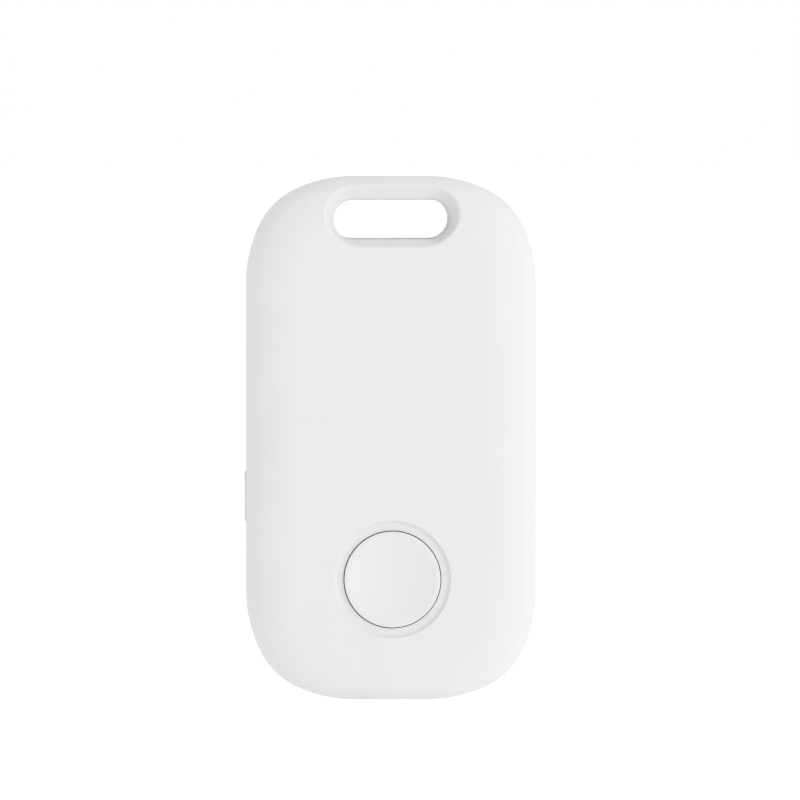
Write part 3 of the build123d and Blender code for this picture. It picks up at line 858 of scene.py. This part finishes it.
@dataclass
class SideKey:
    """Pill-shaped key in the left side, with the flange that keeps it in the case."""

    length: float = 5.0 * MM
    width: float = 1.4 * MM
    flange: float = 0.4 * MM
    rounding: float = 0.1 * MM
    segments: int = 66

    def build(self, wardrobe: Wardrobe) -> None:
        """Draws the flange out to the key and rounds its edges.

        Args:
            wardrobe: Where its finish comes from.
        """
        low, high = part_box("side_key")
        middle = (low + high) / 2
        flange_length = high.z - low.z
        flange_width = high.y - low.y
        start = Vector((high.x, middle.y, middle.z))
        work = Workpiece.pill("side_key_cap", start, flange_length, flange_width, self.segments)
        work.draw(Vector((-self.flange, 0, 0)))
        step = (flange_width - self.width) / 2
        bpy.ops.mesh.inset(thickness=step, depth=0, use_boundary=True)
        shoulder = high.x - self.flange
        spine = (flange_length - flange_width) / 2
        limit = (flange_width + self.width) / 4

        def on_key(place: Vector) -> bool:
            """Whether a place is on the key's own outline at its shoulder."""
            beyond = max(0.0, abs(place.z - middle.z) - spine)
            return abs(place.x - shoulder) < step and Vector((place.y - middle.y, beyond)).length < limit

        shorten = (flange_length - self.length) / 2 - step
        work.spread(middle.z, -shorten, on_key)
        work.pick_faces(lambda spot, normal: on_key(spot) and abs(spot.z - middle.z) < step)
        work.draw(Vector((low.x - shoulder, 0, 0)))
        work.close()
        work.round_edges(self.rounding)
        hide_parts("side_key")
        wardrobe.dress(work.piece, Slot.CASE, "key")


@dataclass
class BatteryDoor:
    """Round door with a coin slot, an open mark, a skirt and three bayonet lugs."""

    skirt_outer: float = 11.0 * MM
    skirt_inner: float = 10.3 * MM
    cover: float = 1.1 * MM
    pressure_drop: float = 1.25 * MM
    groove_radius: float = 11.34 * MM
    groove_width: float = 0.42 * MM
    lug_height: float = 0.8 * MM
    lug_angle: float = 24.0
    lugs: tuple[float, ...] = (90.0, 210.0, 330.0)
    slot_length: float = 13.0 * MM
    slot_width: float = 1.8 * MM
    slot_depth: float = 0.6 * MM
    mark_radius: float = 0.45 * MM
    mark_inset: float = 1.6 * MM
    mark_depth: float = 0.2 * MM
    rounding: float = 0.12 * MM
    segments: int = 180

    def build(self, wardrobe: Wardrobe) -> None:
        """Turns the door, draws out its lugs and cuts its slot and its mark.

        Args:
            wardrobe: Where its finish comes from.
        """
        low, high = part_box("battery_door")
        axis = (low + high) / 2
        radius = (high.x - low.x) / 2
        seat = high.y - self.cover
        groove_middle = (seat + high.y) / 2
        stations = [
            (radius, high.y),
            (radius, groove_middle + self.groove_width / 2),
            (self.groove_radius, groove_middle + self.groove_width / 2),
            (self.groove_radius, groove_middle - self.groove_width / 2),
            (radius, groove_middle - self.groove_width / 2),
            (radius, seat),
            (self.skirt_outer, seat),
            (self.skirt_outer, low.y + self.lug_height),
            (self.skirt_outer, low.y),
            (self.skirt_inner, low.y),
            (self.skirt_inner, high.y - self.pressure_drop),
        ]
        work = Workpiece.turned("door_cover", axis, stations, self.segments)
        work.close()
        self._draw_lugs(work, axis, low.y, radius)
        work.cut(self._coin_slot(axis, high.y))
        work.cut(self._mark(axis, high.y, radius))
        work.round_edges(self.rounding)
        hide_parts("battery_door")
        wardrobe.dress(work.piece, Slot.CASE, "door")

    def _draw_lugs(self, work: Workpiece, axis: Vector, front: float, radius: float) -> None:
        """Draws the lugs out of the skirt.

        Args:
            work: The turned door.
            axis: A point on its axis.
            front: Place of the skirt's front edge along Y.
            radius: Radius that the lugs reach.
        """
        arms = [Vector((cos(radians(turn)), 0, sin(radians(turn)))) for turn in self.lugs]
        reach = cos(radians(self.lug_angle / 2))

        def on_lug(spot: Vector, normal: Vector) -> bool:
            """Whether a face of the skirt's outside belongs to a lug."""
            arm = Vector((spot.x - axis.x, 0, spot.z - axis.z))
            outside = arm.length > (self.skirt_outer + self.skirt_inner) / 2
            level = front < spot.y < front + self.lug_height
            return outside and level and any(arm.normalized().dot(lug) > reach for lug in arms)

        work.activate()
        bpy.ops.object.mode_set(mode="EDIT")
        work.pick_faces(on_lug)
        work.draw(Vector((0, 0, 0)))
        share = radius / self.skirt_outer
        bpy.ops.transform.resize(value=(share, 1, share), center_override=tuple(axis))
        work.close()

    def _coin_slot(self, axis: Vector, rear: float) -> Workpiece:
        """Pill-shaped cutter of the coin slot.

        Args:
            axis: A point on the door's axis.
            rear: Place of the door's outer face along Y.

        Returns:
            The cutter, closed.
        """
        clear_selection()
        bpy.ops.mesh.primitive_circle_add(
            vertices=66,
            radius=self.slot_width / 2,
            fill_type="NGON",
            location=(axis.x, rear + self.slot_depth, axis.z),
            rotation=(pi / 2, pi / 2, 0),
        )
        cutter = Workpiece("coin_slot_cutter")
        step = (self.slot_length - self.slot_width) / 2
        for side in (1, -1):
            cutter.pick(lambda place: (place.x - axis.x) * side > 0)
            bpy.ops.transform.translate(value=(side * step, 0, 0))
        bpy.ops.mesh.select_all(action="SELECT")
        cutter.draw(Vector((0, -2 * self.slot_depth, 0)))
        cutter.close()
        return cutter

    def _mark(self, axis: Vector, rear: float, radius: float) -> Workpiece:
        """Round cutter of the dot that shows whether the door is shut.

        Args:
            axis: A point on the door's axis.
            rear: Place of the door's outer face along Y.
            radius: Radius of the door.

        Returns:
            The cutter, closed.
        """
        spot = axis + Vector((0, 0, radius - self.mark_inset))
        stations = [
            (self.mark_radius, rear + self.mark_depth),
            (self.mark_radius, rear - self.mark_depth),
        ]
        cutter = Workpiece.turned("door_mark_cutter", spot, stations, 40)
        cutter.close()
        return cutter


# ---------------------------------------------------------------- studio


@dataclass
class Studio:
    """Pale floor, white surroundings, one soft light and a long-lens camera."""

    surround: float = 1.0
    floor_albedo: float = 0.2
    floor_glow: float = 0.95
    floor_half: float = 3.0
    key_strength: float = 0.36
    key_turn: float = 56.0
    key_rise: float = 8.0
    key_distance: float = 0.7
    key_size: float = 0.35
    camera_turn: float = -2.5
    camera_rise: float = 2.5
    camera_distance: float = 0.9
    view_width: float = 80.2 * MM
    aim_right: float = 1.0 * MM
    aim_up: float = 3.75 * MM

    def build(self, low: Vector, high: Vector) -> None:
        """Makes the floor, the light and the camera round the object.

        Args:
            low: Lowest corner of the object's box.
            high: Its highest corner.
        """
        middle = (low + high) / 2
        self._surroundings()
        self._floor(low.z)
        self._light("key_light", middle, self.key_turn, self.key_rise, self.key_strength)
        self._camera(middle)
        view = bpy.context.scene.view_settings
        view.view_transform = "Standard"
        view.look = "None"

    def _surroundings(self) -> None:
        """Even white light from everywhere."""
        world = bpy.data.worlds.new("surroundings")
        world.use_nodes = True
        background = world.node_tree.nodes["Background"]
        background.inputs["Color"].default_value = grey(1.0)
        background.inputs["Strength"].default_value = self.surround
        bpy.context.scene.world = world

    def _floor(self, height: float) -> None:
        """Pale floor that the tag stands on.

        Args:
            height: Its height.
        """
        bpy.ops.mesh.primitive_plane_add(size=2 * self.floor_half, location=(0, 0, height))
        floor = bpy.context.object
        floor.name = "floor"
        bench = Bench("floor_paint")
        floor.data.materials.append(
            bench.finish(
                Base_Color=grey(self.floor_albedo),
                Roughness=1.0,
                Emission_Color=grey(1.0),
                Emission_Strength=self.floor_glow,
            )
        )
        floor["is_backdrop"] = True

    def _towards(self, turn: float, rise: float) -> Vector:
        """Direction from the object, turned from the front towards +X and raised.

        Args:
            turn: Degrees from the front towards +X.
            rise: Degrees above the level.

        Returns:
            A direction of length one.
        """
        flat = cos(radians(rise))
        across = sin(radians(turn)) * flat
        back = -cos(radians(turn)) * flat
        return Vector((across, back, sin(radians(rise))))

    def _light(self, name: str, middle: Vector, turn: float, rise: float, strength: float) -> None:
        """Square soft light that faces the object.

        Args:
            name: Its name.
            middle: Point that it faces.
            turn: Degrees from the front towards +X.
            rise: Degrees above the level.
            strength: Light on a surface that faces it, with the surroundings' as one.
        """
        direction = self._towards(turn, rise)
        power = strength * pi * pi * self.key_distance**2
        data = bpy.data.lights.new(name, "AREA")
        data.shape = "SQUARE"
        data.size = self.key_size
        data.energy = power
        light = bpy.data.objects.new(name, data)
        light.location = middle + direction * self.key_distance
        light.rotation_euler = direction.to_track_quat("Z", "Y").to_euler()
        bpy.context.scene.collection.objects.link(light)

    def _camera(self, middle: Vector) -> None:
        """Camera a little to the tag's left and a little above.

        Args:
            middle: Middle of the object.
        """
        direction = self._towards(self.camera_turn, self.camera_rise)
        data = bpy.data.cameras.new("camera")
        data.type = "PERSP"
        data.lens = data.sensor_width * self.camera_distance / self.view_width
        data.clip_start = 0.01
        data.clip_end = 20.0
        camera = bpy.data.objects.new("camera", data)
        turn = direction.to_track_quat("Z", "Y")
        right = turn @ Vector((1, 0, 0))
        up = turn @ Vector((0, 1, 0))
        aim = middle + right * self.aim_right + up * self.aim_up
        camera.location = aim + direction * self.camera_distance
        camera.rotation_euler = turn.to_euler()
        bpy.context.scene.collection.objects.link(camera)
        bpy.context.scene.camera = camera


def main() -> None:
    """Builds the looks round the frame, part by part."""
    logging.basicConfig(level=logging.INFO, format="%(message)s")
    low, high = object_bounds()
    wardrobe = Wardrobe()
    wardrobe.dress_nodes(frame["nodes"])
    for assembly in (FrontButton(), SideKey(), BatteryDoor()):
        assembly.build(wardrobe)
    Studio().build(low, high)


if __name__ == "__main__":
    main()
